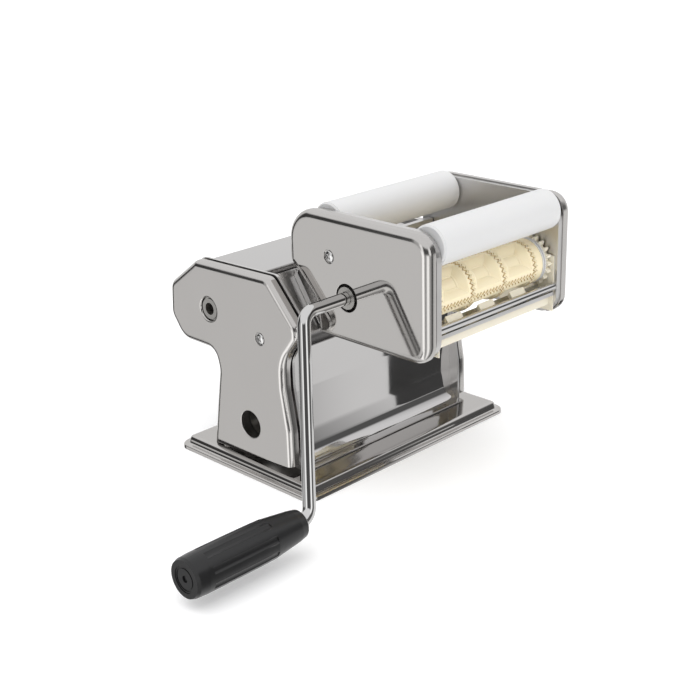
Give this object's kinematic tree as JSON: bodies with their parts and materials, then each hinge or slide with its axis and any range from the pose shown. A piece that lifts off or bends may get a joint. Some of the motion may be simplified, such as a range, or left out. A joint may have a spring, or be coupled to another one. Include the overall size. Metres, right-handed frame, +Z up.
{
  "type": "ravioli maker with crank",
  "caption": "Table-top pasta machine with a ravioli head on its slanted front and a removable bent crank with a fluted grip.",
  "frame": {"origin": "centre of the base plate's footprint, in the plane that it stands on", "axes": "+X along the rollers away from the crank, -Y to the front where the ravioli head is, +Z up"},
  "size_m": [0.3433, 0.2299, 0.1908],
  "materials": {
    "satin_steel": "satin",
    "polished_steel": "polished",
    "gear_steel": "satin",
    "cream_plastic": "satin",
    "white_plastic": "matte",
    "black_plastic": "satin",
    "rubber": "matte"
  },
  "bodies": {
    "stand": {"base_plate": "satin_steel", "rubber_feet": "rubber", "crank_side_frame": "satin_steel", "dial_side_frame": "satin_steel", "crank_side_cover": "satin_steel", "dial_side_cover": "satin_steel", "stand_cover_screws": "polished_steel", "base_rivets": "polished_steel", "front_guard": "polished_steel", "front_apron": "polished_steel", "feed_plate": "polished_steel", "rear_hood": "polished_steel", "outlet_guide": "polished_steel", "stand_tie_rods": "satin_steel", "clamp_tube": "satin_steel", "attachment_rails": "satin_steel", "rear_scraper": "polished_steel", "dial_bearing": "black_plastic"},
    "stand_drive": {"drive_shaft": "polished_steel", "drive_pinion": "gear_steel"},
    "rear_roller": {"rear_dough_roller": "polished_steel", "roller_input_gear": "gear_steel", "rear_roller_gear": "gear_steel"},
    "carriage": {"sliding_bearings": "gear_steel", "front_scraper": "polished_steel"},
    "front_roller": {"front_dough_roller": "polished_steel", "front_roller_gear": "gear_steel"},
    "dial": {"thickness_cam": "gear_steel", "thickness_dial": "black_plastic"},
    "head": {"head_crank_cover": "satin_steel", "head_far_cover": "satin_steel", "head_crank_frame": "satin_steel", "head_far_frame": "satin_steel", "head_cheeks": "cream_plastic", "head_bracket": "satin_steel", "head_cover_screws": "polished_steel", "guide_roller_pins": "polished_steel", "front_comb": "cream_plastic", "rear_comb": "cream_plastic", "head_tie_rod": "polished_steel", "head_rails": "satin_steel"},
    "front_guide": {"front_guide_roller": "white_plastic"},
    "rear_guide": {"rear_guide_roller": "white_plastic"},
    "head_drive": {"crank_socket": "polished_steel", "socket_pinion": "gear_steel"},
    "crank": {"crank_rod": "polished_steel"},
    "grip": {"crank_grip": "black_plastic", "grip_cap": "black_plastic"},
    "front_die_roller": {"front_die": "cream_plastic", "front_die_shaft": "polished_steel", "front_die_gear": "cream_plastic", "front_die_collar": "white_plastic"},
    "rear_die_roller": {"rear_die": "cream_plastic", "rear_die_shaft": "polished_steel", "rear_die_gear": "cream_plastic", "rear_die_collar": "white_plastic", "die_input_gear": "gear_steel"}
  },
  "joints": [
    {"name": "stand_drive_turn", "type": "hinge", "parent": "stand", "child": "stand_drive", "pos_m": [0, 0.03811, 0.1085], "axis": [1, 0, 0], "continuous": true},
    {"name": "rear_roller_turn", "type": "hinge", "parent": "stand", "child": "rear_roller", "pos_m": [0, 0.00896, 0.11601], "axis": [1, 0, 0], "continuous": true},
    {"name": "roller_gap_slide", "type": "slide", "parent": "stand", "child": "carriage", "axis": [0, -1, 0], "range_m": [0, 0.0023]},
    {"name": "front_roller_turn", "type": "hinge", "parent": "carriage", "child": "front_roller", "pos_m": [0, -0.01964, 0.11601], "axis": [1, 0, 0], "continuous": true},
    {"name": "dial_turn", "type": "hinge", "parent": "stand", "child": "dial", "pos_m": [0, -0.01964, 0.11601], "axis": [1, 0, 0], "range_deg": [0, 216]},
    {"name": "head_lift_off", "type": "slide", "parent": "stand", "child": "head", "axis": [0, 0.5547, 0.8321], "range_m": [0, 0.034]},
    {"name": "front_guide_turn", "type": "hinge", "parent": "head", "child": "front_guide", "pos_m": [0, -0.13431, 0.1774], "axis": [1, 0, 0], "continuous": true},
    {"name": "rear_guide_turn", "type": "hinge", "parent": "head", "child": "rear_guide", "pos_m": [0, -0.04861, 0.1774], "axis": [1, 0, 0], "continuous": true},
    {"name": "crank_turn", "type": "hinge", "parent": "head", "child": "head_drive", "pos_m": [0, -0.07691, 0.1361], "axis": [1, 0, 0], "continuous": true},
    {"name": "crank_pull_out", "type": "slide", "parent": "head_drive", "child": "crank", "axis": [-1, 0, 0], "range_m": [0, 0.02]},
    {"name": "grip_turn", "type": "hinge", "parent": "crank", "child": "grip", "pos_m": [-0.14027, -0.10952, 0.01928], "axis": [1, 0, 0], "continuous": true},
    {"name": "front_die_turn", "type": "hinge", "parent": "head", "child": "front_die_roller", "pos_m": [0, -0.12396, 0.1414], "axis": [1, 0, 0], "continuous": true},
    {"name": "rear_die_turn", "type": "hinge", "parent": "head", "child": "rear_die_roller", "pos_m": [0, -0.09136, 0.1414], "axis": [1, 0, 0], "continuous": true}
  ],
  "couplings": [
    {"joint": "rear_roller_turn", "follows": "stand_drive_turn", "ratio": -0.81818},
    {"joint": "front_roller_turn", "follows": "stand_drive_turn", "ratio": 0.81818},
    {"joint": "dial_turn", "follows": "roller_gap_slide", "rad_per_m": 1639.1},
    {"joint": "rear_die_turn", "follows": "crank_turn", "ratio": -0.86667},
    {"joint": "front_die_turn", "follows": "crank_turn", "ratio": 0.86667}
  ]
}
